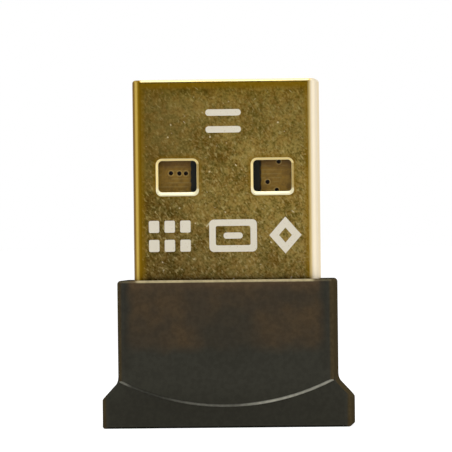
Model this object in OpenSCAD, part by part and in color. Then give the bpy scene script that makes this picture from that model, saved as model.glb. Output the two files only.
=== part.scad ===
// Small USB radio adapter: a folded sheet-metal plug in a smoked plastic cap with a flared grip.
// It stands on the flat end of its cap. +Z runs up to the plug's mouth, +X is to the right and the
// front face of the plug looks towards -Y. All lengths are in millimetres.

/* [Plug shell] */
// Width of the plug shell
shell_w = 12; // [11.8:0.05:12.4]
// Depth of the plug shell, from its front face to its back face
shell_d = 4.5; // [4.3:0.05:4.8]
// Thickness of the sheet that the shell is folded from
sheet_t = 0.3; // [0.24:0.01:0.32]
// Outside radius of the shell's folded corners
fold_r = 0.6; // [0.45:0.05:0.9]
// Length of shell that stands out of the cap
shell_out = 13; // [12.6:0.1:15]
// Length of shell that is held in the cap
shell_in = 4.45; // [3.6:0.05:5]
// Radius of the lead-in round at the shell's mouth
lip_r = 0.2; // [0.1:0.01:0.23]

/* [Latch windows] */
// Width of a latch window
window_w = 2.5; // [2.2:0.05:2.8]
// Height of a latch window, along the plug
window_h = 2.04; // [1.7:0.02:2.3]
// Radius of a window's corners
window_r = 0.26; // [0.15:0.01:0.5]
// Distance between the centres of the two windows in a face
window_pitch = 6.18; // [5.8:0.02:6.6]
// Distance from the mouth to the upper edge of the windows
window_from_mouth = 5.26; // [4.8:0.02:5.6]
// Width of the coined bevel round each window
coin_w = 0.15; // [0.08:0.01:0.24]
// Depth of the coined bevel round each window
coin_d = 0.13; // [0.06:0.01:0.2]

/* [Seam] */
// Width of the groove at the butt seam down the back face
seam_gap = 0.06; // [0.04:0.01:0.12]
// Depth of that groove, below which the seam is pressed shut
seam_depth = 0.18; // [0.1:0.01:0.22]
// Number of dovetail keys that lock the seam
key_count = 2; // [1:1:3]
// Distance between the centres of neighbouring keys
key_pitch = 5; // [3.5:0.1:5.2]
// Distance from the mouth to the centre of the first key
key_from_mouth = 3.4; // [2.4:0.1:4]
// Width of a key at its neck
key_neck = 1; // [0.7:0.05:1.3]
// Width of a key at its head
key_head = 1.6; // [1.4:0.05:2]
// Distance that a key reaches across the seam
key_reach = 1.1; // [0.7:0.05:1.4]

/* [Cap] */
// Height of the cap
cap_h = 9.6; // [9:0.1:11]
// Width of the cap's upper body
cap_w = 14.05; // [13.8:0.05:15]
// Depth of the cap's upper body
cap_d = 7; // [6.6:0.1:8]
// Radius of the upper body's two top corners, seen from the front
cap_corner_r = 0.27; // [0.1:0.01:0.5]
// Radius of the cap's upright edges
cap_edge_r = 0.55; // [0.3:0.05:0.9]
// Radius of the long edges round the top and the bottom of the cap
cap_rim_r = 0.2; // [0.1:0.01:0.35]
// Thickness of the cap's floor
cap_floor = 1.2; // [0.9:0.05:1.6]

/* [Grip] */
// Width across the flared grip
grip_w = 16.2; // [15.5:0.1:17.4]
// Distance that each face of the grip lies behind the upper body's face
grip_step = 0.4; // [0.2:0.05:0.6]
// Height of the grip's upright sides
grip_side_h = 1.87; // [1.5:0.01:2.2]
// Height of the slope above the grip's upright sides
flare_rise = 1.15; // [0.8:0.05:1.4]
// Radius of the grip's outer corners
grip_corner_r = 0.25; // [0.1:0.01:0.4]
// Radius of the hollow where the slope runs into the upper body
flare_root_r = 0.7; // [0.2:0.05:0.8]
// Height of the lowest point of the curved lower edge of the upper body
arc_low = 1.35; // [1:0.05:1.6]
// Radius of that curved edge
arc_r = 15.5; // [13:0.5:18]
// Height of the slope along that curved edge
arc_bevel = 0.2; // [0.1:0.01:0.3]

/* [Circuit board] */
// Gap between each side edge of the circuit board and the inside of the shell
board_side_gap = 0.2; // [0.1:0.05:0.4]
// Thickness of the circuit board
board_t = 0.8; // [0.6:0.05:0.9]
// Distance from the mouth to the board's front edge
board_recess = 0.5; // [0.3:0.05:0.9]
// Gap between the board's rear edge and the cap's floor
board_tail_gap = 0.35; // [0.2:0.05:0.6]
// Size of the chamfer on the board's corners
board_chamfer = 0.4; // [0.2:0.05:0.6]
// Bore of a via
via_d = 0.28; // [0.2:0.02:0.36]
// Thickness of the plug that closes each via at the board's back
via_plug = 0.25; // [0.1:0.05:0.4]
// Free depth over the contacts, up to the inside of the shell's back face
contact_room = 1.95; // [1.9:0.01:2.05]

/* [Contacts] */
// Thickness of a contact and of the printed traces
contact_t = 0.05; // [0.03:0.01:0.08]
// Width of a contact
contact_w = 1; // [0.9:0.05:1.2]
// Distance between the two outer contacts
outer_contact_pitch = 7; // [6.8:0.05:7.2]
// Distance between the two inner contacts
inner_contact_pitch = 2; // [1.9:0.05:2.2]
// Distance from the board's front edge to the outer contacts
outer_contact_start = 0.8; // [0.5:0.05:1.1]
// Distance from the board's front edge to the inner contacts
inner_contact_start = 1.8; // [1.5:0.05:2.2]
// Distance from the board's front edge to the rear end of all contacts
contact_end = 8.3; // [7.6:0.1:9]

/* [Board carrier] */
// Width of each side rail of the moulded carrier
rail_w = 0.75; // [0.5:0.05:0.85]
// Length of the carrier's nose bar, along the plug
nose_l = 1.1; // [0.8:0.05:1.5]
// Size of the chamfer on the nose bar's front edge
nose_chamfer = 0.35; // [0.2:0.05:0.5]
// Height above the cap's floor of the carrier's rear bar
rear_bar_up = 4.3; // [4:0.05:4.8]
// Length of the carrier's rear bar, along the plug
rear_bar_l = 0.7; // [0.5:0.05:1]

/* [Radio chip] */
// Width of the chip's lead frame
chip_w = 4.6; // [4.4:0.05:5]
// Distance that the leads stand out from the moulded body
chip_lead_out = 0.03; // [0.02:0.01:0.06]
// Height of the chip
chip_h = 0.8; // [0.6:0.05:0.85]
// Number of leads along each side
chip_leads = 8; // [6:1:9]
// Distance between neighbouring leads
chip_lead_pitch = 0.5; // [0.45:0.01:0.52]
// Width of a lead
chip_lead_w = 0.24; // [0.18:0.01:0.3]

/* [Small parts] */
// Length of the crystal's case, across the plug
crystal_l = 3.2; // [2.9:0.05:3.4]
// Width of the crystal's case, along the plug
crystal_w = 2.5; // [2.2:0.05:2.7]
// Height of the crystal's case
crystal_h = 0.75; // [0.6:0.05:0.85]
// Length of a small two-ended part, such as a capacitor
small_l = 1; // [0.9:0.02:1.1]
// Width and height of a small two-ended part
small_w = 0.5; // [0.4:0.02:0.56]
// Length of the status lamp
lamp_l = 1.6; // [1.4:0.05:1.7]
// Width of the status lamp
lamp_w = 0.8; // [0.7:0.05:0.9]
// Height of the status lamp
lamp_h = 0.6; // [0.45:0.05:0.75]

// Distance between the centres of neighbouring parts in the front row
front_pitch = 2.1; // [1.7:0.05:2.2]
// Gap between neighbouring parts on the board
part_gap = 0.4; // [0.3:0.02:0.5]
// Distance between the centres of the board's earthing vias
stitch_pitch = 1.98; // [1.6:0.02:2.05]

/* [Antenna] */
// Width of the printed antenna trace
trace_w = 0.4; // [0.3:0.02:0.45]
// Number of folds in the antenna
trace_folds = 5; // [3:1:6]
// Gap between the antenna and the carrier's side rails
antenna_side_gap = 0.8; // [0.4:0.05:1.2]
// Height of the antenna, along the plug
antenna_h = 2.3; // [2:0.05:2.5]
// Distance from the board's rear edge to the antenna
antenna_inset = 0.3; // [0.2:0.05:0.4]

/* [Fits] */
// Clearance between the shell and the cap, on each side
shell_fit = 0.05; // [0.02:0.01:0.1]
// Clearance between the carrier and the shell
carrier_fit = 0.05; // [0.02:0.01:0.1]
// Clearance between the board's back and the cap's guide ribs
rib_fit = 0.05; // [0.02:0.01:0.1]
// Width of a guide rib in the cap
rib_w = 0.6; // [0.4:0.05:0.9]

/* [Hidden] */

$fn = 64;
e = 0.01;

// Heights, all measured from the flat end of the cap
mouth_z = cap_h + shell_out;
shell_z = cap_h - shell_in;
window_z = mouth_z - window_from_mouth - window_h / 2;
board_top_z = mouth_z - board_recess;
board_z = cap_floor + board_tail_gap;
board_len = board_top_z - board_z;

// Places through the depth, from the front face at the lowest y to the back face
shell_front_y = -shell_d / 2;
inner_front_y = shell_front_y + sheet_t;
inner_back_y = shell_d / 2 - sheet_t;
contact_y = inner_back_y - contact_room;
board_back_y = contact_y - contact_t;
board_front_y = board_back_y - board_t;

// Inside of the shell, which the cap's rear pocket carries on
inner_w = shell_w - 2 * sheet_t;
inner_d = shell_d - 2 * sheet_t;
inner_r = fold_r - sheet_t;
board_w = inner_w - 2 * board_side_gap;
rail_x = board_w / 2 - rail_w;
fold_pitch = (2 * (rail_x - antenna_side_gap) - trace_w) / trace_folds;

// Grip and curved edge
grip_d = cap_d - 2 * grip_step;
slope_top_z = grip_side_h + flare_rise;
arc_centre_z = arc_low + arc_r;
core_z = arc_low / 2;

// Vias seen in the front windows, as offsets [x, z] from the centre of each window
left_window_vias = [[-0.51, 0.23], [0.04, 0.21], [0.47, 0.21]];
right_window_vias = [[0.35, 0.91], [-0.39, -0.4], [0.2, -0.93]];

// Places of the parts on the board
rear_bar_z = cap_floor + rear_bar_up;
via_row_z = rear_bar_z + rear_bar_l + via_d;
rear_row_z = via_row_z + via_d / 2 + part_gap / 2 + small_l / 2;
crystal_x = rail_x - part_gap - crystal_l / 2;
crystal_z = rear_row_z + small_l / 2 + part_gap + crystal_w / 2;
load_x = crystal_x - crystal_l / 2 - part_gap - small_w / 2;
load_dz = small_l / 2 + part_gap / 2;
front_row_z = window_z + chip_w / 2 + part_gap + small_l / 2;
inductor_x = -rail_x + 2 * part_gap + small_w;
match_x = inductor_x + small_w + part_gap;

// Tints of the small parts
ceramic = [0.6, 0.5, 0.36];
glaze = [0.12, 0.12, 0.12];
ferrite = [0.35, 0.45, 0.4];

// A rectangle with round corners, about the origin
module round_rect(w, h, r) {
    union() {
        square([w - 2 * r, h], center = true);
        square([w, h - 2 * r], center = true);
        for (x = [-1, 1], y = [-1, 1])
            translate([x * (w / 2 - r), y * (h / 2 - r)]) circle(r);
    }
}

// A rectangle that stands on y = 0, with only its two upper corners round
module arched_rect(w, h, r) {
    union() {
        translate([-w / 2, 0]) square([w, h - r]);
        translate([-w / 2 + r, 0]) square([w - 2 * r, h]);
        for (x = [-1, 1])
            translate([x * (w / 2 - r), h - r]) circle(r);
    }
}

// Draws a front-view outline as a solid that runs from y0 to y1
module from_front(y0, y1) {
    translate([0, y1, 0]) rotate([90, 0, 0]) linear_extrude(y1 - y0) children();
}

// Draws a side-view outline, [y, z], as a solid of width w about x = 0
module from_side(w) {
    translate([-w / 2, 0, 0]) rotate([90, 0, 90]) linear_extrude(w) children();
}

// Plug shell

// Section of one wall of the shell, x in from the outer face and y up, with the lead-in round on top
module wall_section() {
    union() {
        translate([0, shell_z]) square([sheet_t, mouth_z - lip_r - shell_z]);
        translate([lip_r, shell_z]) square([sheet_t - lip_r, mouth_z - shell_z]);
        intersection() {
            translate([lip_r, mouth_z - lip_r]) circle(lip_r);
            translate([0, shell_z]) square([lip_r, mouth_z - shell_z]);
        }
    }
}

// A flat wall of width w whose outer face lies at y = -offset
module flat_wall(w, offset) {
    translate([-w / 2, -offset, 0]) rotate([90, 0, 90]) linear_extrude(w) wall_section();
}

// A folded corner about the origin, which turns from +X to +Y
module folded_corner() {
    rotate_extrude(angle = 90) translate([fold_r, 0]) mirror([1, 0]) wall_section();
}

// The folded tube before its windows and seam are cut
module folded_tube() {
    long_side = shell_w - 2 * fold_r;
    short_side = shell_d - 2 * fold_r;
    for (side = [0, 180]) {
        rotate(side) flat_wall(long_side, shell_d / 2);
        rotate(side + 90) flat_wall(short_side, shell_w / 2);
        rotate(side) translate([long_side / 2, short_side / 2, 0]) folded_corner();
        rotate(side) translate([-long_side / 2, short_side / 2, 0]) rotate(90) folded_corner();
    }
}

// Tool for one window: a round-cornered hole, and the coined bevel that opens outwards from y = 0
module window_tool() {
    straight_w = window_w - 2 * window_r;
    straight_h = window_h - 2 * window_r;
    slope = coin_w / coin_d;
    out = e * slope;
    from_front(-e, sheet_t + e) round_rect(window_w, window_h, window_r);
    from_side(straight_w)
        polygon([
            [-e, -window_h / 2 - coin_w - out], [-e, window_h / 2 + coin_w + out],
            [coin_d, window_h / 2], [coin_d, -window_h / 2]
        ]);
    translate([0, 0, -straight_h / 2]) linear_extrude(straight_h)
        polygon([
            [-window_w / 2 - coin_w - out, -e], [window_w / 2 + coin_w + out, -e],
            [window_w / 2, coin_d], [-window_w / 2, coin_d]
        ]);
    for (x = [-1, 1], z = [-1, 1])
        translate([x * straight_w / 2, -e, z * straight_h / 2]) rotate([-90, 0, 0])
            cylinder(h = coin_d + e, r1 = window_r + coin_w + out, r2 = window_r);
}

// One dovetail key in the plane of the back face, wider by grow on each side
module key_outline(grow) {
    polygon([
        [-seam_gap / 2, -key_neck / 2 - grow], [key_reach + grow, -key_head / 2 - grow],
        [key_reach + grow, key_head / 2 + grow], [-seam_gap / 2, key_neck / 2 + grow]
    ]);
}

// The groove of the seam, straight but for its way round each key
module seam_outline() {
    difference() {
        union() {
            translate([-seam_gap / 2, shell_z - e]) square([seam_gap, mouth_z - shell_z + 2 * e]);
            for (i = [0 : key_count - 1])
                translate([0, mouth_z - key_from_mouth - i * key_pitch]) key_outline(seam_gap);
        }
        for (i = [0 : key_count - 1])
            translate([0, mouth_z - key_from_mouth - i * key_pitch]) key_outline(0);
    }
}

module plug_shell() {
    color([0.44, 0.37, 0.18])
        difference() {
            folded_tube();
            for (face = [0, 180], x = [-1, 1])
                rotate(face)
                    translate([x * window_pitch / 2, shell_front_y, window_z]) window_tool();
            from_front(shell_d / 2 - seam_depth, shell_d / 2 + e) seam_outline();
        }
}

// Cap

// Upper body without its hollow or its curved lower edge
module upper_body() {
    intersection() {
        from_front(-cap_d / 2, cap_d / 2)
            translate([0, core_z]) arched_rect(cap_w, cap_h - core_z, cap_corner_r);
        linear_extrude(cap_h) round_rect(cap_w, cap_d, cap_edge_r);
        from_side(cap_w)
            translate([0, core_z]) arched_rect(cap_d, cap_h - core_z, cap_rim_r);
    }
}

// A drum whose lower edge is the curved edge, which slopes down to the grip at each end
module arc_drum() {
    slope_d = grip_step - e;
    end_r = arc_r - arc_bevel * (1 + e / slope_d);
    translate([0, cap_d / 2 + e, arc_centre_z]) rotate([90, 0, 0]) {
        cylinder(h = slope_d + e, r1 = end_r, r2 = arc_r, $fn = 128);
        translate([0, 0, slope_d + e])
            cylinder(h = cap_d - 2 * slope_d, r = arc_r, $fn = 128);
        translate([0, 0, cap_d - slope_d + e])
            cylinder(h = slope_d + e, r1 = arc_r, r2 = end_r, $fn = 128);
    }
}

// Centre of a circle of radius r in the corner at point b of the path a, b, c
function corner_centre(a, b, c, r) =
    let (u = (a - b) / norm(a - b), v = (c - b) / norm(c - b), m = (u + v) / norm(u + v))
    b + m * r / sin(acos(u * v) / 2);

// Point where that circle touches the side from b towards a
function touch_point(a, b, c, r) =
    let (u = (a - b) / norm(a - b), v = (c - b) / norm(c - b))
    b + u * r / tan(acos(u * v) / 2);

// Right half of the flared grip, seen from the front
module half_grip_outline() {
    foot = [grip_w / 2, 0];
    knee = [grip_w / 2, grip_side_h];
    root = [cap_w / 2, slope_top_z];
    top = [cap_w / 2, slope_top_z + 2 * flare_root_r];
    knee_centre = corner_centre(foot, knee, root, grip_corner_r);
    root_centre = corner_centre(knee, root, top, flare_root_r);
    foot_r = cap_rim_r;
    difference() {
        union() {
            polygon([
                [0, 0], [foot[0] - foot_r, 0], [foot[0], foot_r],
                touch_point(foot, knee, root, grip_corner_r),
                touch_point(root, knee, foot, grip_corner_r),
                touch_point(knee, root, top, flare_root_r),
                touch_point(top, root, knee, flare_root_r),
                [cap_w / 2 - cap_edge_r, top[1]], [0, top[1]]
            ]);
            translate([foot[0] - foot_r, foot_r]) circle(foot_r);
            translate(knee_centre) circle(grip_corner_r);
        }
        translate(root_centre) circle(flare_root_r);
    }
}

// The grip, which is thinner than the upper body
module grip() {
    intersection() {
        from_front(-grip_d / 2, grip_d / 2) {
            half_grip_outline();
            mirror([1, 0]) half_grip_outline();
        }
        linear_extrude(cap_h) round_rect(grip_w, grip_d, cap_edge_r);
        from_side(grip_w)
            translate([0, cap_h]) mirror([0, 1]) arched_rect(grip_d, cap_h, cap_rim_r);
    }
}

// Socket for the shell, and the narrower pocket for the board's tail below it
module cap_hollow() {
    translate([0, 0, shell_z])
        linear_extrude(shell_in + e)
            round_rect(shell_w + 2 * shell_fit, shell_d + 2 * shell_fit, fold_r + shell_fit);
    difference() {
        translate([0, 0, cap_floor])
            linear_extrude(shell_z - cap_floor + e) round_rect(inner_w, inner_d, inner_r);
        for (x = [-1, 1])
            translate([x * inner_w / 2, 0, shell_z / 2])
                linear_extrude(shell_z + 2 * e, center = true)
                    translate([-rib_w, board_back_y + rib_fit])
                        square([2 * rib_w, inner_back_y - board_back_y]);
    }
}

module cap() {
    color([0.2, 0.19, 0.16])
        difference() {
            union() {
                intersection() {
                    upper_body();
                    union() {
                        arc_drum();
                        translate([0, 0, cap_h / 2]) cube([grip_w, grip_d, cap_h], center = true);
                    }
                }
                grip();
            }
            cap_hollow();
        }
}

// Board and what it carries

// Seats its children on the board's component side, at [x, z], with their own +Z pointing forwards
module on_board(x, z) {
    translate([x, board_front_y, z]) rotate([90, 0, 0]) children();
}

module board_carrier() {
    rail_y0 = inner_front_y + carrier_fit;
    rail_depth = board_front_y - rail_y0;
    nose_z = board_top_z - nose_l;
    color([0.1, 0.1, 0.1])
        union() {
            for (x = [-1, 1])
                translate([x * (board_w / 2 - rail_w / 2), rail_y0 + rail_depth / 2, board_z + board_len / 2])
                    cube([rail_w, rail_depth, board_len], center = true);
            from_side(board_w)
                polygon([
                    [rail_y0, nose_z], [board_front_y, nose_z], [board_front_y, board_top_z],
                    [rail_y0 + nose_chamfer, board_top_z], [rail_y0, board_top_z - nose_chamfer]
                ]);
            translate([-board_w / 2, rail_y0, rear_bar_z]) cube([board_w, rail_depth, rear_bar_l]);
        }
}

// The bore of a via at [x, z], closed at the board's back
module via(x, z) {
    translate([x, board_back_y - via_plug, z]) rotate([90, 0, 0]) cylinder(h = board_t, d = via_d);
}

module circuit_board() {
    color([0.45, 0.33, 0.2])
        difference() {
            from_front(board_front_y, board_back_y)
                translate([0, board_z])
                    polygon([
                        [-board_w / 2, 0], [board_w / 2, 0],
                        [board_w / 2, board_len - board_chamfer],
                        [board_w / 2 - board_chamfer, board_len],
                        [-board_w / 2 + board_chamfer, board_len],
                        [-board_w / 2, board_len - board_chamfer]
                    ]);
            for (p = left_window_vias) via(p[0] - window_pitch / 2, p[1] + window_z);
            for (p = right_window_vias) via(p[0] + window_pitch / 2, p[1] + window_z);
            for (i = [-2 : 2]) via(i * stitch_pitch, via_row_z);
        }
}

// A contact on the board's back, from start to contact_end behind the board's front edge
module contact(x, start) {
    len = contact_end - start;
    color([0.85, 0.68, 0.32])
        from_front(board_back_y, contact_y)
            translate([x, board_top_z - start - len / 2])
                round_rect(contact_w, len, contact_w / 5);
}

module contact_power() contact(outer_contact_pitch / 2, outer_contact_start);
module contact_data_minus() contact(inner_contact_pitch / 2, inner_contact_start);
module contact_data_plus() contact(-inner_contact_pitch / 2, inner_contact_start);
module contact_ground() contact(-outer_contact_pitch / 2, outer_contact_start);

module radio_chip() {
    body_w = chip_w - 2 * chip_lead_out;
    lead_h = chip_h / 4;
    draft = chip_h / 20;
    dot_r = chip_w / 16;
    dot_inset = chip_w / 6;
    color([0.08, 0.08, 0.08])
        on_board(0, window_z)
            difference() {
                union() {
                    intersection_for (turn = [0, 90])
                        rotate([90, 0, turn]) linear_extrude(body_w, center = true)
                            polygon([
                                [-body_w / 2, 0], [body_w / 2, 0], [body_w / 2, lead_h],
                                [body_w / 2 - draft, chip_h], [-body_w / 2 + draft, chip_h],
                                [-body_w / 2, lead_h]
                            ]);
                    for (turn = [0 : 90 : 270], i = [0 : chip_leads - 1])
                        rotate(turn)
                            translate([
                                body_w / 2 - chip_lead_out,
                                (i - (chip_leads - 1) / 2) * chip_lead_pitch - chip_lead_w / 2, 0
                            ])
                                cube([2 * chip_lead_out, chip_lead_w, lead_h]);
                }
                translate([-body_w / 2 + dot_inset, body_w / 2 - dot_inset, chip_h * 0.9])
                    cylinder(h = chip_h, r = dot_r);
            }
}

// A metal-lidded crystal case on its ceramic base
module crystal() {
    base_h = crystal_h * 0.45;
    lid_inset = 0.15;
    flange_h = base_h + 0.06;
    color([0.75, 0.75, 0.73])
        on_board(crystal_x, crystal_z)
            union() {
                linear_extrude(base_h) round_rect(crystal_l, crystal_w, 0.12);
                linear_extrude(flange_h)
                    round_rect(crystal_l - lid_inset, crystal_w - lid_inset, 0.25);
                linear_extrude(crystal_h)
                    round_rect(crystal_l - 3 * lid_inset, crystal_w - 3 * lid_inset, 0.25);
            }
}

// A small part with a metal cap at each end; h is its height
module two_ended(h, tint) {
    end_l = small_l / 4;
    body_inset = 0.02;
    color(tint)
        union() {
            translate([0, 0, h / 2])
                cube([small_w - 2 * body_inset, small_l - 2 * body_inset, h - 2 * body_inset], center = true);
            for (end = [-1, 1])
                translate([0, end * (small_l - end_l) / 2, h / 2])
                    cube([small_w, end_l, h], center = true);
        }
}

module lamp_resistor() on_board(crystal_x, rear_row_z) two_ended(small_w * 0.7, glaze);
module crystal_capacitor_left() on_board(load_x, crystal_z - load_dz) two_ended(small_w, ceramic);
module crystal_capacitor_right() on_board(load_x, crystal_z + load_dz) two_ended(small_w, ceramic);
module supply_capacitor() on_board(-1.5 * front_pitch, front_row_z) two_ended(small_w, ceramic);
module core_capacitor() on_board(-0.5 * front_pitch, front_row_z) two_ended(small_w, ceramic);
module io_capacitor() on_board(0.5 * front_pitch, front_row_z) two_ended(small_w, ceramic);
module supply_filter() on_board(1.5 * front_pitch, front_row_z) two_ended(small_w, glaze);
module matching_inductor() on_board(inductor_x, rear_row_z) two_ended(small_w, ferrite);
module matching_capacitor() on_board(match_x, rear_row_z) two_ended(small_w, ceramic);

// The status lamp, which shines through the cap
module status_lamp() {
    base_h = lamp_h * 0.4;
    end_l = lamp_l / 5;
    lens_l = lamp_l - 2 * end_l - 0.1;
    color([0.75, 0.82, 0.9])
        on_board(0, rear_row_z)
            rotate(90)
                union() {
                    translate([0, 0, base_h / 2]) cube([lamp_w, lamp_l, base_h], center = true);
                    rotate([90, 0, 0]) linear_extrude(lens_l, center = true)
                        translate([0, base_h]) intersection() {
                            round_rect(lamp_w, 2 * (lamp_h - base_h), lamp_w / 4);
                            translate([-lamp_w / 2, -e]) square([lamp_w, lamp_h - base_h + e]);
                        }
                }
}

// A folded trace that is fed at its left end, with its earth leg beside the feed
module antenna_trace() {
    z0 = board_z + antenna_inset;
    z1 = z0 + antenna_h;
    left = -trace_folds * fold_pitch / 2;
    leg_x = left + fold_pitch / 2;
    color([0.72, 0.5, 0.3])
        from_front(board_front_y - contact_t, board_front_y)
            union() {
                translate([left, z0]) square([trace_w, rear_bar_z - z0]);
                translate([leg_x, z1 - trace_w]) square([trace_w, rear_bar_z - z1 + trace_w]);
                for (i = [0 : trace_folds - 1])
                    translate([left + i * fold_pitch, z0]) {
                        square([fold_pitch / 2 + trace_w, trace_w]);
                        translate([fold_pitch / 2, 0]) square([trace_w, antenna_h]);
                        translate([fold_pitch / 2, antenna_h - trace_w])
                            square([fold_pitch / 2 + trace_w, trace_w]);
                        translate([fold_pitch, 0]) square([trace_w, antenna_h]);
                    }
            }
}

plug_shell();
cap();
board_carrier();
circuit_board();
contact_power();
contact_data_minus();
contact_data_plus();
contact_ground();
radio_chip();
crystal();
antenna_trace();
status_lamp();
lamp_resistor();
crystal_capacitor_left();
crystal_capacitor_right();
supply_capacitor();
core_capacitor();
io_capacitor();
matching_inductor();
matching_capacitor();
supply_filter();
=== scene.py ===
# %% [markdown]
# # A tiny plug-in radio adapter
#
# The object is 22.6 mm tall: a folded metal plug shell that stands in a cap of smoked plastic.
# Its solids come from a CAD model and are loaded as a fixed frame. This lesson gives each of them
# the finish of the real thing, adds the ink on the shell, which is too thin for the CAD model, and
# sets up a white studio. Blender works in metres here, so one constant turns millimetres into
# metres and keeps the numbers easy to read.

# %% Load the fixed frame
import math

import bpy
from mathutils import Matrix, Vector


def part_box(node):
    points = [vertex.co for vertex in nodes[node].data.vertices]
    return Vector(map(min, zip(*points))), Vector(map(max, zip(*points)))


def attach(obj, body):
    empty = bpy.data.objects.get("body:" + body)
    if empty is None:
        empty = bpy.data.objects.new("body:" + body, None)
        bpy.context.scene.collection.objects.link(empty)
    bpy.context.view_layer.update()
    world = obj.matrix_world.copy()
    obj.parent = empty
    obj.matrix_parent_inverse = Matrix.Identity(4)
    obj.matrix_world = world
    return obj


MM = 0.001
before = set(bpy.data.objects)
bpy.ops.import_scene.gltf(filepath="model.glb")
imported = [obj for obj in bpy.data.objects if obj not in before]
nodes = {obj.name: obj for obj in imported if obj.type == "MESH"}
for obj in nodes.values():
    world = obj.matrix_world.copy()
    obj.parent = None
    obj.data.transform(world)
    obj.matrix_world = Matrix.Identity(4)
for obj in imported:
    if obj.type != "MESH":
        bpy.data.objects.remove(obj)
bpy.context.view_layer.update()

# %% [markdown]
# ## Colours and shader nodes
#
# Designers write colours as hex codes in sRGB, the space of a screen. A renderer adds light up in
# linear values, so one function turns the code into linear numbers, and every colour goes through it.
# One more function adds a shader node of any kind, with its settings and its links. A link is
# written as the name of an input, or as i and its number, and the socket that feeds it. The helpers
# that follow put several nodes together for one purpose, such as a sum or a blend.


# %% Colours and nodes
def srgb(code):
    """A hex code such as "#8a7440" as a linear colour with alpha."""
    values = [int(code[i : i + 2], 16) / 255 for i in (1, 3, 5)]
    linear = [v / 12.92 if v <= 0.04045 else ((v + 0.055) / 1.055) ** 2.4 for v in values]
    return (*linear, 1.0)


def add(tree, kind, settings=None, out=0, **inputs):
    """Adds a node. settings are its own properties; an input is a value, or a socket to link."""
    made = tree.nodes.new(kind)
    for name, value in (settings or {}).items():
        setattr(made, name, value)
    for name, value in inputs.items():
        socket = made.inputs[int(name[1:])] if name[1:].isdigit() else made.inputs[name.replace("_", " ")]
        if isinstance(value, bpy.types.NodeSocket):
            tree.links.new(value, socket)
        else:
            socket.default_value = value
    return made.outputs[out] if made.outputs else None


def new_material(name):
    """A material without nodes, and its node tree."""
    made = bpy.data.materials.new(name)
    made.use_nodes = True
    made.node_tree.nodes.clear()
    return made, made.node_tree


# %% Sums, products and blends
def total(tree, start, *terms):
    """A start plus some sockets. Each of them comes with the factor that it is multiplied by."""
    for socket, factor in terms:
        start = add(tree, "ShaderNodeMath", {"operation": "MULTIPLY_ADD"}, i0=socket, i1=factor, i2=start)
    return start


def times(tree, first, *others):
    """The product: as a mask, where all of them hold."""
    for other in others:
        first = add(tree, "ShaderNodeMath", {"operation": "MULTIPLY"}, i0=first, i1=other)
    return first


def largest(tree, first, *others):
    """The largest: as a mask, where any of them holds."""
    for other in others:
        first = add(tree, "ShaderNodeMath", {"operation": "MAXIMUM"}, i0=first, i1=other)
    return first


def blend(tree, amount, a, b, kind="MIX"):
    """Goes from a to b with the amount. They are numbers, or colours as codes, values or sockets."""
    if isinstance(a, (int, float)):
        return total(tree, a, (amount, b - a))
    a, b = (srgb(end) if isinstance(end, str) else end for end in (a, b))
    settings = {"data_type": "RGBA", "blend_type": kind, "clamp_factor": True}
    return add(tree, "ShaderNodeMix", settings, out=2, i0=amount, i6=a, i7=b)


# %% [markdown]
# ## The camera
#
# The photograph was taken with a long lens, level with the object and a little to its right. The
# camera is placed by an angle, a height and a distance from a point that it looks at, and the focal
# length is worked out from how many pixels a millimetre takes at that point. The object leans a
# little in the picture, which is a small roll of the camera.

# %% Camera at the photograph's angle
PHOTO_SIDE = 452
SENSOR = 36.0
PIXELS_PER_MM = 15.32
DISTANCE = 400 * MM
AIM = Vector((-0.092, 0, 13.075)) * MM
AZIMUTH = math.radians(3.4)
ELEVATION = math.radians(0.0)
ROLL = math.radians(-0.65)

forward = Vector(
    (-math.sin(AZIMUTH) * math.cos(ELEVATION), math.cos(AZIMUTH) * math.cos(ELEVATION), -math.sin(ELEVATION))
)
level = Vector((math.cos(AZIMUTH), math.sin(AZIMUTH), 0))
upward = level.cross(forward)
right = math.cos(ROLL) * level + math.sin(ROLL) * upward
up = math.cos(ROLL) * upward - math.sin(ROLL) * level

camera_data = bpy.data.cameras.new("camera")
camera_data.sensor_width = SENSOR
camera_data.lens = PIXELS_PER_MM * (DISTANCE / MM) * SENSOR / PHOTO_SIDE
camera_data.clip_start = 0.01
camera_data.clip_end = 10
camera = bpy.data.objects.new("camera", camera_data)
bpy.context.scene.collection.objects.link(camera)
turned = Matrix((right, up, -forward)).transposed().to_4x4()
camera.matrix_world = Matrix.Translation(AIM - forward * DISTANCE) @ turned
bpy.context.scene.camera = camera
print("camera lens in mm:", round(camera_data.lens, 1))

# %% [markdown]
# ## The studio
#
# Plain soft light: a white world, a large soft lamp above, a tall one at the right that lights the
# shell's right-hand fold, a weak one at the left and a fill from the front. A dark card behind the
# camera gives the front faces something calm to reflect. The world is white where the camera, a
# reflection or a view through plastic looks at it, and a little dimmer where it only lights things.
# The floor glows a little for the camera, so that it melts into the background, and the rest of its
# white comes from the lamps, so that it still takes the object's shadow.

# %% World
scene = bpy.context.scene
scene.view_settings.view_transform = "Standard"

AMBIENT = 0.7
FLOOR_GLOW = 0.72
FLOOR_SIZE = 6


def seen_share(tree):
    """1 where the camera, a reflection or a view through plastic looks, 0 where light is gathered."""
    rays = ("Is Camera Ray", "Is Glossy Ray", "Is Transmission Ray")
    return largest(tree, *(add(tree, "ShaderNodeLightPath", out=ray) for ray in rays))


world = bpy.data.worlds.new("white_room")
world.use_nodes = True
scene.world = world
tree = world.node_tree
tree.nodes.clear()
strength = blend(tree, seen_share(tree), AMBIENT, 1)
background = add(tree, "ShaderNodeBackground", Color=srgb("#ffffff"), Strength=strength)
add(tree, "ShaderNodeOutputWorld", Surface=background)
print("world:", world.name, "with an ambient strength of", AMBIENT)


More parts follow.
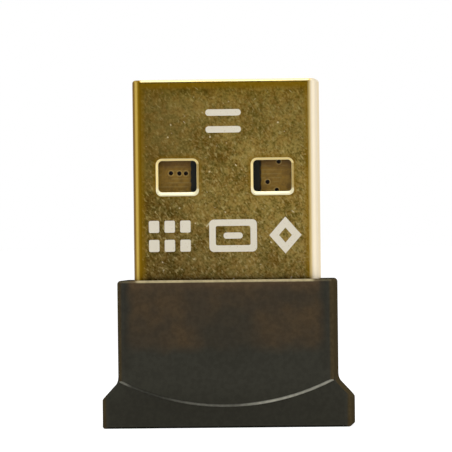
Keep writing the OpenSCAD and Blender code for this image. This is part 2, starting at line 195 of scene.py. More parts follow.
# %% Floor and cards
def floor_material():
    """White studio card: a weak glow for the camera over a white that takes shadows."""
    made, tree = new_material("white_card")
    glow_strength = times(tree, seen_share(tree), FLOOR_GLOW)
    glow = add(tree, "ShaderNodeEmission", Color=srgb("#ffffff"), Strength=glow_strength)
    white = add(tree, "ShaderNodeBsdfDiffuse", Color=srgb("#bcbcbc"))
    both = add(tree, "ShaderNodeAddShader", i0=glow, i1=white)
    add(tree, "ShaderNodeOutputMaterial", Surface=both)
    return made


def dark_card_material():
    """Dark matt card."""
    made, tree = new_material("dark_card")
    dark = add(tree, "ShaderNodeBsdfDiffuse", Color=srgb("#2a2722"))
    add(tree, "ShaderNodeOutputMaterial", Surface=dark)
    return made


def card(name, width, height, place, look_at, material):
    """A flat rectangle that faces a point."""
    mesh = bpy.data.meshes.new(name)
    w, h = width / 2, height / 2
    mesh.from_pydata([(-w, -h, 0), (w, -h, 0), (w, h, 0), (-w, h, 0)], [], [(0, 1, 2, 3)])
    made = bpy.data.objects.new(name, mesh)
    scene.collection.objects.link(made)
    made.location = place
    made.rotation_euler = (Vector(look_at) - Vector(place)).to_track_quat("Z", "Y").to_euler()
    made.data.materials.append(material)
    print("card:", name, "in metres:", width, "by", height)
    return made


card("floor", FLOOR_SIZE, FLOOR_SIZE, (0, 0, 0), (0, 0, 1), floor_material())
front_card = card("front_card", 0.34, 0.30, (0, -0.30, 0.15), (0, 0, 0.15), dark_card_material())
front_card.visible_camera = False


# %% Lamps
def lamp(name, watts, width, height, place, look_at):
    """A soft rectangular lamp that faces a point."""
    data = bpy.data.lights.new(name, "AREA")
    data.shape = "RECTANGLE"
    data.size = width
    data.size_y = height
    data.energy = watts
    made = bpy.data.objects.new(name, data)
    scene.collection.objects.link(made)
    made.location = place
    made.rotation_euler = (Vector(look_at) - Vector(place)).to_track_quat("-Z", "Y").to_euler()
    return made


# Power in watts, then width, height and place in metres. All of them face the object's middle.
MIDDLE = (0, 0, 12 * MM)
lamp("top_lamp", 0.35, 0.20, 0.12, (0.02, -0.05, 0.30), MIDDLE)
lamp("right_lamp", 0.08, 0.06, 0.24, (0.25, -0.06, 0.05), MIDDLE)
lamp("left_lamp", 0.03, 0.06, 0.20, (-0.25, -0.10, 0.06), MIDDLE)
fill = lamp("front_fill", 0.35, 0.16, 0.16, (0.03, -0.28, 0.06), MIDDLE)
fill.visible_glossy = False

# %% [markdown]
# ## Masks on the object
#
# The finishes are painted without pictures. A mask is a value that is 1 where something holds and 0
# where it doesn't, and it says where a colour goes. Each mask is worked out from the point of the
# surface in millimetres, from the direction that the surface looks in, or from a noise, so it stays
# sharp at any size and needs no unwrapping. A mask is made from edges: an edge is a value, where it
# starts to count and where it counts in full.


# %% Where a point is, and where it looks
def place_mm(tree):
    """A surface point in the object's own frame, in mm: as a vector, and its x, y and z."""
    metres = add(tree, "ShaderNodeTexCoord", out="Object")
    point = add(tree, "ShaderNodeVectorMath", {"operation": "SCALE"}, i0=metres, Scale=1 / MM)
    return (point, *(add(tree, "ShaderNodeSeparateXYZ", out=axis, Vector=point) for axis in "XYZ"))


def normal_xyz(tree):
    """The x, y and z of the direction that the surface looks in, in the object's own frame."""
    normal = add(tree, "ShaderNodeTexCoord", out="Normal")
    return [add(tree, "ShaderNodeSeparateXYZ", out=axis, Vector=normal) for axis in "XYZ"]


# %% Edges and distances
def mask(tree, *edges):
    """1 where every value is past its edge. An edge is a value, its start and where it is full."""
    soft = {"interpolation_type": "SMOOTHSTEP"}
    made = [
        add(tree, "ShaderNodeMapRange", soft, Value=value, From_Min=start, From_Max=full)
        for value, start, full in edges
    ]
    return times(tree, *made)


def off(tree, value, place=0.0):
    """How far a value is from a place, either way."""
    return add(tree, "ShaderNodeMath", {"operation": "ABSOLUTE"}, i0=total(tree, -place, (value, 1)))


def reach(tree, x, z, centre_x, centre_z):
    """Distance in mm from a line that runs from front to back through a centre."""
    from_x = total(tree, -centre_x, (x, 1))
    from_z = total(tree, -centre_z, (z, 1))
    flat = add(tree, "ShaderNodeCombineXYZ", X=from_x, Y=0.0, Z=from_z)
    return add(tree, "ShaderNodeVectorMath", {"operation": "LENGTH"}, out="Value", i0=flat)


def rounded_gap(tree, off_x, off_z, half_w, half_h, radius):
    """Distance in mm outside a rectangle with round corners. off_x and off_z are from its middle."""
    past_x = largest(tree, total(tree, radius - half_w, (off_x, 1)), 0.0)
    past_z = largest(tree, total(tree, radius - half_h, (off_z, 1)), 0.0)
    squares = total(tree, 0.0, (past_x, past_x), (past_z, past_z))
    root = add(tree, "ShaderNodeMath", {"operation": "SQRT"}, i0=squares)
    return total(tree, -radius, (root, 1))


# %% Streaks, and the surface that carries it all
def streaks(tree, point, degrees, stretch, size_mm, detail, roughness):
    """Noise with blobs of about size_mm, turned in the front plane and drawn out along it."""
    slant = {"Rotation": (0, math.radians(degrees), 0), "Scale": (1, 1, stretch)}
    turned = add(tree, "ShaderNodeMapping", {"vector_type": "TEXTURE"}, Vector=point, **slant)
    blobs = {"Scale": 1 / size_mm, "Detail": detail, "Roughness": roughness}
    return add(tree, "ShaderNodeTexNoise", Vector=turned, **blobs)


GRAIN_DEPTH = 0.01 * MM


def surface(tree, height, relief, **inputs):
    """A physical surface with the relief of a height, as the material's output."""
    bump = add(tree, "ShaderNodeBump", Strength=relief, Distance=GRAIN_DEPTH, Height=height)
    shader = add(tree, "ShaderNodeBsdfPrincipled", Normal=bump, **inputs)
    add(tree, "ShaderNodeOutputMaterial", Surface=shader)


def finish_node(name, material):
    """Gives a CAD node its finish."""
    made = nodes[name]
    made.data.materials.clear()
    made.data.materials.append(material)
    print(name, "is finished in", material.name)


# %% Measures of the CAD model that the masks follow, in mm
# The flat of the shell's face ends where its folds start. WINDOW_X and WINDOW_Z are a window's middle.
shell_low, shell_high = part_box("plug_shell")
cap_low, cap_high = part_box("cap")
SHELL_HALF = shell_high.x / MM
MOUTH = shell_high.z / MM
FOLD_R = 0.6
FLAT_HALF = SHELL_HALF - FOLD_R
WINDOW_X = 3.09
WINDOW_W = 2.5
WINDOW_H = 2.04
WINDOW_R = 0.26
WINDOW_FROM_MOUTH = 5.26
WINDOW_Z = MOUTH - WINDOW_FROM_MOUTH - WINDOW_H / 2

# The cap's upper body stands above the flare. The board's parts show as a dark patch round their
# middle, and the curved edge is part of a circle.
CAP_TOP = cap_high.z / MM
CAP_DEPTH = cap_high.y / MM
CAP_HALF = 7.025
GRIP_HALF = cap_high.x / MM
FLARE_TOP = 3.4
BODY_FULL = 4.2
PARTS_X, PARTS_Z = 0.2, 5.9
ARC_R = 15.5
ARC_LOW = 1.35
ARC_CENTRE_Z = ARC_LOW + ARC_R
print("shell box in mm:", [round(v / MM, 2) for v in (*shell_low, *shell_high)])
print("cap box in mm:", [round(v / MM, 2) for v in (*cap_low, *cap_high)])

# %% [markdown]
# ## Gold-plated sheet steel: the plug shell
#
# The real shell is steel sheet 0.3 mm thick that is stamped flat, folded into a tube and plated in a
# dull old gold. Rolling and tumbling leave a sandy mottle with scuffs and flecks a tenth to a third
# of a millimetre long, so the flat faces scatter the light instead of mirroring the room. The gold is
# painted yellower beside the folds, round the windows and just under the mouth. The bends, the mouth
# and the coined bevels round the windows catch the lamps, and those highlights are painted into their
# colour as a pale gold. A bend or bevel is known by its normal: a flat face looks straight along one
# axis, and a bend or bevel doesn't.

# %% Grain of the plating
# Sizes in mm. The grain of the sheet itself is finer than the 0.07 mm that a pixel of the picture
# covers, so the finest noise is drawn as coarse as 0.13 mm, where it shows.
FINE_MM, COARSE_MM = 0.13, 0.32
PATCH_MM, HUE_MM = 1.5, 0.4
SCUFF_MM, FLECK_MM = 0.16, 0.22


def plating_grain(tree, point):
    """Sandy grain of the plated sheet: a fine and a coarse noise, dragged a little aslant."""
    fine = streaks(tree, point, -35, 1.2, FINE_MM, 2.0, 0.55)
    coarse = streaks(tree, point, -25, 1.3, COARSE_MM, 2.0, 0.6)
    return total(tree, 0.0, (coarse, 0.35), (fine, 0.65))


# %% Colour of the flat faces
def plated_face(tree, point, x, z, grain):
    """Mottle, an uneven tint, painted light towards the upper right, slanting scuffs and a few bright flecks.
    """
    # The mottle is livelier low down and at the right than at the upper left and near the mouth.
    upper_left = mask(tree, (x, 1.0, -4.5), (z, WINDOW_Z - 3.0, WINDOW_Z + 2.0))
    near_mouth = times(tree, mask(tree, (z, WINDOW_Z + 1.0, WINDOW_Z + 3.5)), 0.6)
    lively = blend(tree, largest(tree, upper_left, near_mouth), 1.0, 0.5)
    patches = add(tree, "ShaderNodeTexNoise", Vector=point, Scale=1 / PATCH_MM, Detail=2.0, Roughness=0.5)
    tone = total(tree, -0.5, (grain, 0.7), (patches, 0.3))
    tone = total(tree, 0.5, (tone, lively))
    face = blend(tree, mask(tree, (tone, 0.37, 0.63)), "#6c561c", "#cab064")

    # Thin plating lets a little of the grey steel through, so the tint wanders from olive to amber.
    hue = add(tree, "ShaderNodeTexNoise", Vector=point, Scale=1 / HUE_MM, Detail=2.0, Roughness=0.6)
    tint = blend(tree, mask(tree, (hue, 0.4, 0.6)), "#70743a", "#96702c")
    face = blend(tree, 0.25, face, tint)
    # Painted light: the face is painted lighter towards the upper right, where the lamps stand, and darker at
    # the lower left.
    painted_light_rightward = mask(tree, (total(tree, x, (z, 0.35)), -2.0, 10.0))
    shade = blend(tree, painted_light_rightward, "#d2ccc4", "#fffaee")
    face = blend(tree, 1.0, face, shade, "MULTIPLY")

    # Scuffs from handling run in three directions, most of them down to the right.
    for angle, limit in ((-32, 0.56), (-62, 0.60), (24, 0.63)):
        scuff = streaks(tree, point, angle, 2.2, SCUFF_MM, 1.0, 0.4)
        scuff = times(tree, mask(tree, (scuff, limit, limit + 0.2)), lively, 0.6)
        face = blend(tree, scuff, face, "#d6c27c")
    fleck = streaks(tree, point, -50, 1.6, FLECK_MM, 0.0, 0.5)
    face = blend(tree, times(tree, mask(tree, (fleck, 0.79, 0.87)), 0.85), face, "#fbeebc")

    # The gold is richer near the mouth and at the left, and greyer low down, near the cap.
    upper_part = mask(tree, (z, MOUTH - 2.0, MOUTH - 0.4))
    left_part = times(tree, mask(tree, (x, 2.0 - SHELL_HALF, 0.8 - SHELL_HALF)), 0.5)
    face = blend(tree, largest(tree, upper_part, left_part), face, "#f6f2cc", "MULTIPLY")
    return blend(tree, mask(tree, (z, CAP_TOP + 6.0, CAP_TOP)), face, "#e6e6f0", "MULTIPLY")


# %% Colour near edges and on the folds
def deeper_gold(tree, face, z, away, gap):
    """Gold painted yellower just under the mouth, beside the folds and round the windows."""
    by_mouth = mask(tree, (z, MOUTH - 0.75, MOUTH - 0.32), (z, MOUTH - 0.19, MOUTH - 0.22))
    by_fold = times(tree, mask(tree, (away, FLAT_HALF - 0.35, FLAT_HALF)), 0.7)
    face = blend(tree, times(tree, largest(tree, by_mouth, by_fold), 0.8), face, "#9e780a")
    return blend(tree, times(tree, mask(tree, (gap, 0.50, 0.15)), 0.55), face, "#96700f")


def painted_fold_light(tree, colour, away):
    """Painted reflections: the left fold is dark, bright and dark gold in turn as it bends, the right one
    pale.
    """
    in_fold = mask(tree, (away, FLAT_HALF - 0.03, FLAT_HALF + 0.03))
    sideways = times(tree, normal_xyz(tree)[0], in_fold)
    not_side = (sideways, -0.999, -0.98)
    # Painted reflection: the left fold is painted in bands by how far it has turned.
    for low, high, code in ((0.0, 0.15, "#86660f"), (0.28, 0.52, "#bea24e"), (0.60, 0.80, "#7c5c14")):
        colour = blend(tree, mask(tree, (sideways, -low, -high), not_side), colour, code)
    # Painted highlight: the right fold, turned towards the right-hand lamp, is painted a pale cream, less on
    # its flat side.
    colour = blend(tree, mask(tree, (sideways, 0.04, 0.20)), colour, "#d8bd78")
    flat_side = mask(tree, (sideways, 0.985, 0.9995))
    right_fold_highlight = times(tree, mask(tree, (sideways, 0.18, 0.50)), blend(tree, flat_side, 1.0, 0.25))
    return blend(tree, right_fold_highlight, colour, "#e2d6bd")


def edge_amount(tree):
    """0 on faces that look along an axis, 1 on bends, bevels and rounds."""
    sizes = [off(tree, side) for side in normal_xyz(tree)]
    return mask(tree, (largest(tree, *sizes), 0.995, 0.93))


# %% Plated shell
def plated_shell_material():
    """Dull gold plating, with painted highlights on the bends and on the bevels round the windows."""
    made, tree = new_material("gold_plated_sheet")
    point, x, _, z = place_mm(tree)
    away = off(tree, x)
    grain = plating_grain(tree, point)
    off_x = off(tree, away, WINDOW_X)
    above = total(tree, -WINDOW_Z, (z, 1))
    off_z = off(tree, above)
    gap = rounded_gap(tree, off_x, off_z, WINDOW_W / 2, WINDOW_H / 2, WINDOW_R)
    face = deeper_gold(tree, plated_face(tree, point, x, z, grain), z, away, gap)

    # Painted highlight: the lower bevel is painted broader and paler than the others, and the bevels at the
    # windows' right sides dimmer.
    lower = mask(tree, (above, -0.5, -1.0))
    rim_z = off(tree, above, -0.05)
    rim_gap = rounded_gap(tree, off_x, rim_z, WINDOW_W / 2 + 0.15, WINDOW_H / 2 + 0.20, 0.36)
    lower_rim_highlight = times(tree, mask(tree, (rim_gap, 0.015, -0.025)), lower)
    window_side = add(tree, "ShaderNodeMath", {"operation": "SIGN"}, i0=x)
    rightward = total(tree, x, (window_side, -WINDOW_X))
    edge_x = WINDOW_W / 2
    straight = WINDOW_H / 2 - WINDOW_R
    dim_rim = mask(
        tree,
        (rightward, edge_x - 0.02, edge_x + 0.06),
        (rightward, edge_x + 0.30, edge_x + 0.24),
        (off_z, straight + 0.12, straight),
    )
    # Painted highlights: bends, bevels and the lower rim are painted pale gold; the bevels round the windows
    # are half metallic and paler, the lower one near white.
    edge = largest(tree, edge_amount(tree), lower_rim_highlight)
    edge = times(tree, edge, blend(tree, dim_rim, 1.0, 0.3))
    bevel = times(tree, edge, mask(tree, (gap, 0.32, 0.28)))
    colour = blend(tree, edge, face, "#fbe6a2")
    colour = blend(tree, times(tree, bevel, lower), colour, "#f2eac4")
    surface(
        tree,
        height=grain,
        relief=0.25,
        Base_Color=painted_fold_light(tree, colour, away),
        Metallic=blend(tree, bevel, 1.0, 0.5),
        Roughness=total(tree, 0.30, (grain, 0.16), (edge, 0.12)),
    )
    return made


finish_node("plug_shell", plated_shell_material())

# %% [markdown]
# ## Smoked polycarbonate: the cap
#
# The real cap is moulded in a dark see-through plastic, in a tool with a satin finish, so its shine
# is soft and low. Light gets a little way in, so the cap looks warmer where the metal shell stands
# behind its wall and at thin edges, and cooler where there is only depth. Those tints are painted by
# position, since the wall lets too little light through to be worth tracing. The slope along the
# curved edge and the rim in front of the shell are painted with thin pale lines where they catch the light.

# %% What shows through the wall
# Sizes in mm. The satin left by the tool is finer than a pixel, so it is drawn at 0.12 mm.
BLUR_MM, CLOUD_MM = 1.5, 2.2
DUST_MM, SATIN_MM = 0.3, 0.12


def inner_tints(tree, point, x, z, away):
    """Warm metal above, a dark patch of parts, cool depth elsewhere."""
    blur = add(tree, "ShaderNodeTexNoise", Vector=point, Scale=1 / BLUR_MM, Detail=2.0, Roughness=0.6)
    blur = blend(tree, blur, -0.4, 0.4)
    over_shell = mask(
        tree,
        (total(tree, away, (blur, 1)), SHELL_HALF + 0.6, SHELL_HALF - 0.1),
        (total(tree, z, (blur, 1)), 4.7, 5.7),
    )
    cloud = add(tree, "ShaderNodeTexNoise", Vector=point, Scale=1 / CLOUD_MM, Detail=3.0, Roughness=0.55)
    warm = blend(tree, mask(tree, (cloud, 0.35, 0.65)), "#342c20", "#423421")
    base = blend(tree, mask(tree, (z, FLARE_TOP, 1.2)), "#2b2b24", "#24241d")
    base = blend(tree, over_shell, base, warm)
    from_parts = total(tree, reach(tree, x, z, PARTS_X, PARTS_Z), (blur, 1))
    base = blend(tree, times(tree, mask(tree, (from_parts, 2.5, 1.3)), 0.6), base, "#26261f")
    by_rim = mask(tree, (z, CAP_TOP - 0.9, CAP_TOP - 0.1), (away, SHELL_HALF + 0.3, SHELL_HALF))
    return blend(tree, times(tree, by_rim, 0.5), base, "#54402a")


# %% Edges of the cap
def cap_sides(tree, base, z, away, normal_x):
    """Darker beside the shell, then a warm edge where the wall is thin."""
    on_body = (z, FLARE_TOP, BODY_FULL)
    beside = mask(tree, (away, SHELL_HALF - 0.1, SHELL_HALF + 0.5), on_body)
    base = blend(tree, beside, base, "#e8e6e4", "MULTIPLY")
    rim = largest(
        tree,
        mask(tree, (away, GRIP_HALF - 0.4, GRIP_HALF)),
        mask(tree, (away, CAP_HALF - 0.3, CAP_HALF), on_body),
        mask(tree, (off(tree, normal_x), 0.35, 0.75)),
    )
    return blend(tree, times(tree, rim, 0.6), base, "#5c4e34")


def lit_lines(tree, base, x, y, z, away, normal_z):
    """Painted light: a pale line on the rim in front of the shell, and a highlight along the curved edge's
    slope.
    """
    rim = mask(tree, (z, CAP_TOP - 0.19, CAP_TOP - 0.12), (off(tree, y), CAP_DEPTH - 0.22, CAP_DEPTH - 0.16))
    by_shell = blend(tree, mask(tree, (away, SHELL_HALF - 0.1, SHELL_HALF - 0.4)), 0.15, 1.0)
    base = blend(tree, times(tree, rim, by_shell), base, "#b0a27c")
    radius = reach(tree, x, z, 0.0, ARC_CENTRE_Z)
    on_slope = mask(
        tree,
        (radius, ARC_R - 0.24, ARC_R - 0.11),
        (radius, ARC_R + 0.04, ARC_R - 0.06),
        (normal_z, -0.5, -0.7),
    )
    left_part = times(tree, mask(tree, (x, -6.0, -1.5)), 0.32)
    left_end = blend(tree, mask(tree, (x, -6.0, -6.7)), 0.1, 0.4)
    fading = blend(tree, mask(tree, (x, 3.0, 5.5)), 0.85, 0.65)
    right_part = times(tree, mask(tree, (x, -1.0, 3.2)), fading)
    along = largest(tree, left_part, left_end, right_part)
    return blend(tree, times(tree, on_slope, along), base, "#ece9d6")


# %% Smoked cap
def smoked_material():
    """Satin smoked plastic. Its sides don't reflect, since they would mirror the white room."""
    made, tree = new_material("smoked_polycarbonate")
    point, x, y, z = place_mm(tree)
    away = off(tree, x)
    normal_x, normal_y, normal_z = normal_xyz(tree)
    base = inner_tints(tree, point, x, z, away)
    base = cap_sides(tree, base, z, away, normal_x)
    base = lit_lines(tree, base, x, y, z, away, normal_z)
    dust = add(tree, "ShaderNodeTexNoise", Vector=point, Scale=1 / DUST_MM, Detail=3.0, Roughness=0.6)
    base = blend(tree, mask(tree, (dust, 0.65, 0.35)), base, "#e2e2e2", "MULTIPLY")
    side_face = mask(tree, (off(tree, normal_y), 0.985, 0.75))
    satin = add(tree, "ShaderNodeTexNoise", Vector=point, Scale=1 / SATIN_MM, Detail=2.0, Roughness=0.6)
    surface(
        tree,
        height=satin,
        relief=0.15,
        Base_Color=base,
        Roughness=blend(tree, satin, 0.34, 0.46),
        IOR=1.58,
        Specular_IOR_Level=blend(tree, side_face, 0.20, 0.0),
        Specular_Tint=srgb("#fff4e0"),
    )
    return made


finish_node("cap", smoked_material())

# %% [markdown]
# ## Pad-printed ink: the marks
#
# The shell carries marks in a pale matt ink, pressed on with a soft pad, so they are flat, opaque
# and a little worn: two bars near the mouth, and a row of three signs below the windows, made of
# squares, a frame and a diamond. A picture laid on the face could show them too, but flat prisms as
# thin as ink keep their edges sharp at any size.

# %% Flat prisms
INK_T = 0.012
INK_Y = shell_low.y / MM


def prism(name, outlines, material):
    """Flat prisms on the shell's front face. An outline is (x, z) points in mm, or an (outer, inner) pair."""
    points = []
    faces = []
    for outline in outlines:
        loops = outline if isinstance(outline, tuple) else (outline,)
        count = len(loops[0])
        starts = []
        for loop in loops:
            starts.append(len(points))
            points += [(px * MM, INK_Y * MM, pz * MM) for px, pz in loop]
            points += [(px * MM, (INK_Y - INK_T) * MM, pz * MM) for px, pz in loop]
        for i in range(count):
            j = (i + 1) % count
            for start, turn in zip(starts, (1, -1)):
                wall = [start + i, start + j, start + count + j, start + count + i]
                faces.append(wall[::turn])
            if len(starts) == 2:
                outer, inner = starts
                faces.append([outer + count + i, outer + count + j, inner + count + j, inner + count + i])
                faces.append([outer + j, outer + i, inner + i, inner + j])
        if len(starts) == 1:
            faces.append([starts[0] + count + i for i in range(count)])
            faces.append([starts[0] + i for i in reversed(range(count))])
    mesh = bpy.data.meshes.new(name)
    mesh.from_pydata(points, [], faces)
    made = bpy.data.objects.new(name, mesh)
    scene.collection.objects.link(made)
    made.data.materials.append(material)
    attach(made, "root")
    print(name, "has", len(faces), "faces")
    return made


# %% Outlines
def rounded(cx, cz, w, h, r, steps=6):
    """Outline of a rectangle with round corners, counter-clockwise as seen from the front."""
    outline = []
    for quarter, (sx, sz) in enumerate(((1, -1), (1, 1), (-1, 1), (-1, -1))):
        for i in range(steps + 1):
            angle = math.radians(-90 + 90 * quarter + 90 * i / steps)
            outline.append(
                (cx + sx * (w / 2 - r) + r * math.cos(angle), cz + sz * (h / 2 - r) + r * math.sin(angle))
            )
    return outline


def diamond(cx, cz, w, h):
    """Outline of a diamond."""
    return [(cx, cz - h / 2), (cx + w / 2, cz), (cx, cz + h / 2), (cx - w / 2, cz)]


# Places and sizes in mm. An OFF is how far a pair's pieces are from the pair's middle.
STROKE = 0.42
BARS_X, BARS_Z = -0.07, 19.9
BAR_W, BAR_OFF, BAR_R = 2.3, 0.55, 0.2
ROW_Z = 12.45
SQUARES_X = -3.62
SQUARE_W, SQUARE_H, SQUARE_R = 0.68, 0.78, 0.1
SQUARE_PITCH, SQUARE_OFF = 1.02, 0.62
FRAME_X, FRAME_W, FRAME_H = 0.5, 3.1, 2.1
PILL_W, PILL_H, PILL_R = 1.25, 0.4, 0.19
DIAMOND_X, DIAMOND_W, DIAMOND_H = 3.9, 2.1, 2.4

MARKS = {
    "mark_bars": [rounded(BARS_X, BARS_Z + side * BAR_OFF, BAR_W, STROKE, BAR_R) for side in (1, -1)],
    "mark_squares": [
        rounded(SQUARES_X + SQUARE_PITCH * column, ROW_Z + SQUARE_OFF * side, SQUARE_W, SQUARE_H, SQUARE_R)
        for column in (-1, 0, 1)
        for side in (-1, 1)
    ],
    "mark_frame": [
        (
            rounded(FRAME_X, ROW_Z, FRAME_W, FRAME_H, 0.3),
            rounded(FRAME_X, ROW_Z, FRAME_W - 2 * STROKE, FRAME_H - 2 * STROKE, 0.12),
        ),
        rounded(FRAME_X, ROW_Z, PILL_W, PILL_H, PILL_R),
    ],
    "mark_diamond": [
        (
            diamond(DIAMOND_X, ROW_Z, DIAMOND_W, DIAMOND_H),
            diamond(DIAMOND_X, ROW_Z, DIAMOND_W - 3 * STROKE, DIAMOND_H - 3.4 * STROKE),
        ),
    ],
}

# %% Pale ink
WEAR_MM = 0.10


def ink_material():
    """Matt ink, rubbed thin in places, so that some of the plating shows through."""
    made, tree = new_material("pale_ink")
    point = place_mm(tree)[0]
    wear = add(tree, "ShaderNodeTexNoise", Vector=point, Scale=1 / WEAR_MM, Detail=2.0, Roughness=0.7)
    colour = blend(tree, mask(tree, (wear, 0.24, 0.40)), "#c8ba98", "#e0d8c4")
    surface(tree, height=wear, relief=0.2, Base_Color=colour, Roughness=0.6)
    return made


ink = ink_material()
for name, outlines in MARKS.items():
    prism(name, outlines, ink)

# %% [markdown]
# ## What is inside
#
# The windows and the mouth show a little of the inside. The board is glass cloth in resin under
# brown lacquer: the weave and the copper buried in it are just visible, and each via is a drilled
# and plated bore, a pale ring round a dark hole. The carrier is moulded in black plastic and has the
# matt skin of its tool. The contacts are gold over nickel, polished by their plating, and the
# antenna is etched copper under lacquer. The small parts are fired ceramic with tinned ends.

# %% Carrier, contacts and antenna
# The grain of these finishes is finer than a pixel, so it is drawn at 0.2 mm, and it is faint.
GRAIN_MM = 0.2
GRAIN_SHADE = 0.88


def simple_material(name, code, metallic, roughness):
    """A finish of one kind, with a fine grain in its tone and roughness."""
    made, tree = new_material(name)
    point = place_mm(tree)[0]
    grain = add(tree, "ShaderNodeTexNoise", Vector=point, Scale=1 / GRAIN_MM, Detail=3.0, Roughness=0.6)
    full = srgb(code)
    shaded = tuple(v * GRAIN_SHADE for v in full[:3]) + (1.0,)
    surface(
        tree,
        height=grain,
        relief=0.15,
        Base_Color=blend(tree, grain, shaded, full),
        Metallic=metallic,
        Roughness=blend(tree, grain, roughness, roughness + 0.1),
    )
    return made


finish_node("board_carrier", simple_material("moulded_carrier", "#161616", 0.0, 0.5))
finish_node("antenna_trace", simple_material("lacquered_copper", "#9c6a3a", 1.0, 0.35))
gold = simple_material("gold_plated_contact", "#e0b765", 1.0, 0.22)
for name in ("contact_power", "contact_data_minus", "contact_data_plus", "contact_ground"):
    finish_node(name, gold)

# %% Board
# All sizes are in mm. VIAS are the centres of the vias that the windows show, three in each.
VIAS = [
    (-WINDOW_X - 0.51, WINDOW_Z + 0.23),
    (-WINDOW_X + 0.04, WINDOW_Z + 0.21),
    (-WINDOW_X + 0.47, WINDOW_Z + 0.21),
    (WINDOW_X + 0.35, WINDOW_Z + 0.91),
    (WINDOW_X - 0.39, WINDOW_Z - 0.40),
    (WINDOW_X + 0.20, WINDOW_Z - 0.93),
]
RING_R = 0.23
HOLE_R = 0.15
RESIN_MM, CLOTH_MM = 0.25, 0.9
WEAVE_PITCH = 0.26


def laminate_material():
    """Brown laminate under lacquer, the weave and buried traces just visible, a painted shadow and painted
    shade in the bores.
    """
    made, tree = new_material("brown_lacquered_laminate")
    point, x, y, z = place_mm(tree)
    low, high = (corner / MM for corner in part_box("circuit_board"))
    grain = add(tree, "ShaderNodeTexNoise", Vector=point, Scale=1 / RESIN_MM, Detail=3.0, Roughness=0.6)
    colour = blend(tree, mask(tree, (grain, 0.3, 0.7)), "#7e5e16", "#987422")
    turns = times(tree, z, 2 * math.pi / WEAVE_PITCH)
    rows = add(tree, "ShaderNodeMath", {"operation": "SINE"}, i0=turns)
    patches = add(tree, "ShaderNodeTexNoise", Vector=point, Scale=1 / CLOTH_MM, Detail=0.0, Roughness=0.5)
    weave = times(tree, mask(tree, (rows, 0.2, 0.9), (patches, 0.45, 0.60)), 0.22)
    colour = blend(tree, weave, colour, "#b0a060")
    # Painted shadow: the board is painted darker towards the windows' top edges, where the shell shades it.
    painted_shell_shadow = mask(tree, (z, WINDOW_Z + 0.2, WINDOW_Z + 1.1))
    colour = blend(tree, times(tree, painted_shell_shadow, 0.5), colour, "#6c4210")
    # Painted shade: the walls of the holes through the board are painted near black, as no light reaches into
    # them.
    painted_bore_shade = mask(
        tree,
        (y, low.y + 0.02, low.y + 0.06),
        (y, high.y - 0.02, high.y - 0.06),
        (off(tree, x), high.x - 0.2, high.x - 0.3),
        (z, high.z - 0.3, high.z - 0.5),
        (z, low.z + 0.3, low.z + 0.5),
    )
    colour = blend(tree, painted_bore_shade, colour, "#0c0603")
    on_front = (y, 0.0, -0.1)
    for via_x, via_z in VIAS:
        away = reach(tree, x, z, via_x, via_z)
        ring = times(tree, mask(tree, (away, RING_R, RING_R - 0.04), on_front), 0.6)
        # Painted shade: the edge of each hole is painted dark, round the pale plated ring.
        painted_hole_shade = mask(tree, (away, HOLE_R, HOLE_R - 0.02), on_front)
        colour = blend(tree, ring, colour, "#c0a058")
        colour = blend(tree, painted_hole_shade, colour, "#241406")
    surface(
        tree,
        height=grain,
        relief=0.15,
        Base_Color=colour,
        Roughness=0.38,
        Specular_IOR_Level=0.35,
    )
    return made


finish_node("circuit_board", laminate_material())


# %% A finish of two kinds, such as ceramic with tinned ends
def two_part_material(name, where, one, two, roughness=0.45):
    """where(tree, x, y, z) says where the second kind is. A kind is its colour and how metallic it is."""
    made, tree = new_material(name)
    point, x, y, z = place_mm(tree)
    amount = where(tree, x, y, z)
    grain = add(tree, "ShaderNodeTexNoise", Vector=point, Scale=1 / GRAIN_MM, Detail=3.0, Roughness=0.6)
    colour = blend(tree, amount, one[0], two[0])
    shade = blend(tree, grain, "#d8d8d8", "#ffffff")
    surface(
        tree,
        height=grain,
        relief=0.15,
        Base_Color=blend(tree, 1.0, colour, shade, "MULTIPLY"),
        Metallic=blend(tree, amount, one[1], two[1]),
        Roughness=blend(tree, grain, roughness, roughness + 0.1),
        Specular_IOR_Level=0.3,
    )
    return made


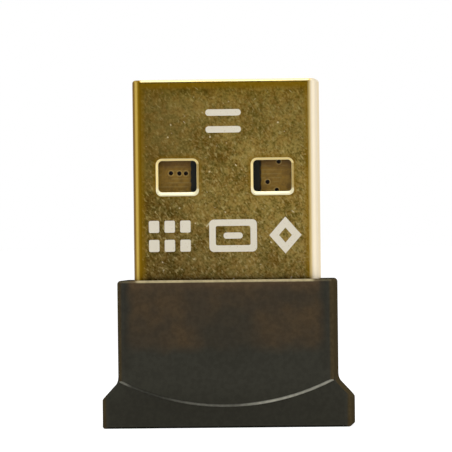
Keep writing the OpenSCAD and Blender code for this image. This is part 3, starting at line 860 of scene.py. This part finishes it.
def ends_of(part, share):
    """Where a small part's two ends are, each a share of its length."""
    low, high = (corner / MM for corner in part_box(part))
    size = high - low
    middle = (high + low) / 2
    along_x = size.x > size.z
    body = (size.x if along_x else size.z) * (0.5 - share)

    def at_ends(tree, x, y, z):
        away = off(tree, x, middle.x) if along_x else off(tree, z, middle.z)
        return mask(tree, (away, body - 0.01, body + 0.01))

    return at_ends


def foot_of(part, share):
    """Where a part stands on the board, up to a share of its height."""
    low, high = (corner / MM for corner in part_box(part))
    foot = high.y + share * (low.y - high.y)

    def at_foot(tree, x, y, z):
        return mask(tree, (y, foot - 0.01, foot + 0.01))

    return at_foot


def leads_of(part, length):
    """Where a chip's leads stand out of its four sides, by a length in millimetres."""
    low, high = (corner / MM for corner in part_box(part))
    body = (high.x - low.x) / 2 - length
    middle = (high + low) / 2

    def at_leads(tree, x, y, z):
        away = largest(tree, off(tree, x, middle.x), off(tree, z, middle.z))
        return mask(tree, (away, body, body + 0.01))

    return at_leads


# %% Chip, crystal and lamp
# Each kind is a colour and how metallic it is.
TIN = ("#b8b4aa", 1.0)
EPOXY = ("#12140c", 0.0)
LEADS = ("#5c5646", 0.6)
LID = ("#c8c6c0", 1.0)
CERAMIC_FOOT = ("#b9ae98", 0.0)
RESIN = ("#c9d4dc", 0.0)
chip_leads = leads_of("radio_chip", 0.03)
crystal_foot = foot_of("crystal", 0.45)
lamp_ends = ends_of("status_lamp", 0.2)
finish_node("radio_chip", two_part_material("moulded_epoxy", chip_leads, EPOXY, LEADS, 0.55))
finish_node("crystal", two_part_material("nickel_lid", crystal_foot, LID, CERAMIC_FOOT, 0.3))
finish_node("status_lamp", two_part_material("clear_resin", lamp_ends, RESIN, TIN, 0.2))

# %% Capacitors, coil and resistors
CAPACITOR = "#9a7c52"
BODIES = {
    "crystal_capacitor_left": CAPACITOR,
    "crystal_capacitor_right": CAPACITOR,
    "supply_capacitor": CAPACITOR,
    "core_capacitor": CAPACITOR,
    "io_capacitor": CAPACITOR,
    "matching_capacitor": CAPACITOR,
    "matching_inductor": "#6e6a66",
    "lamp_resistor": "#1b1b1b",
    "supply_filter": "#24221f",
}
for name, code in BODIES.items():
    finish_node(name, two_part_material("tinned_" + name, ends_of(name, 0.25), (code, 0.0), TIN))
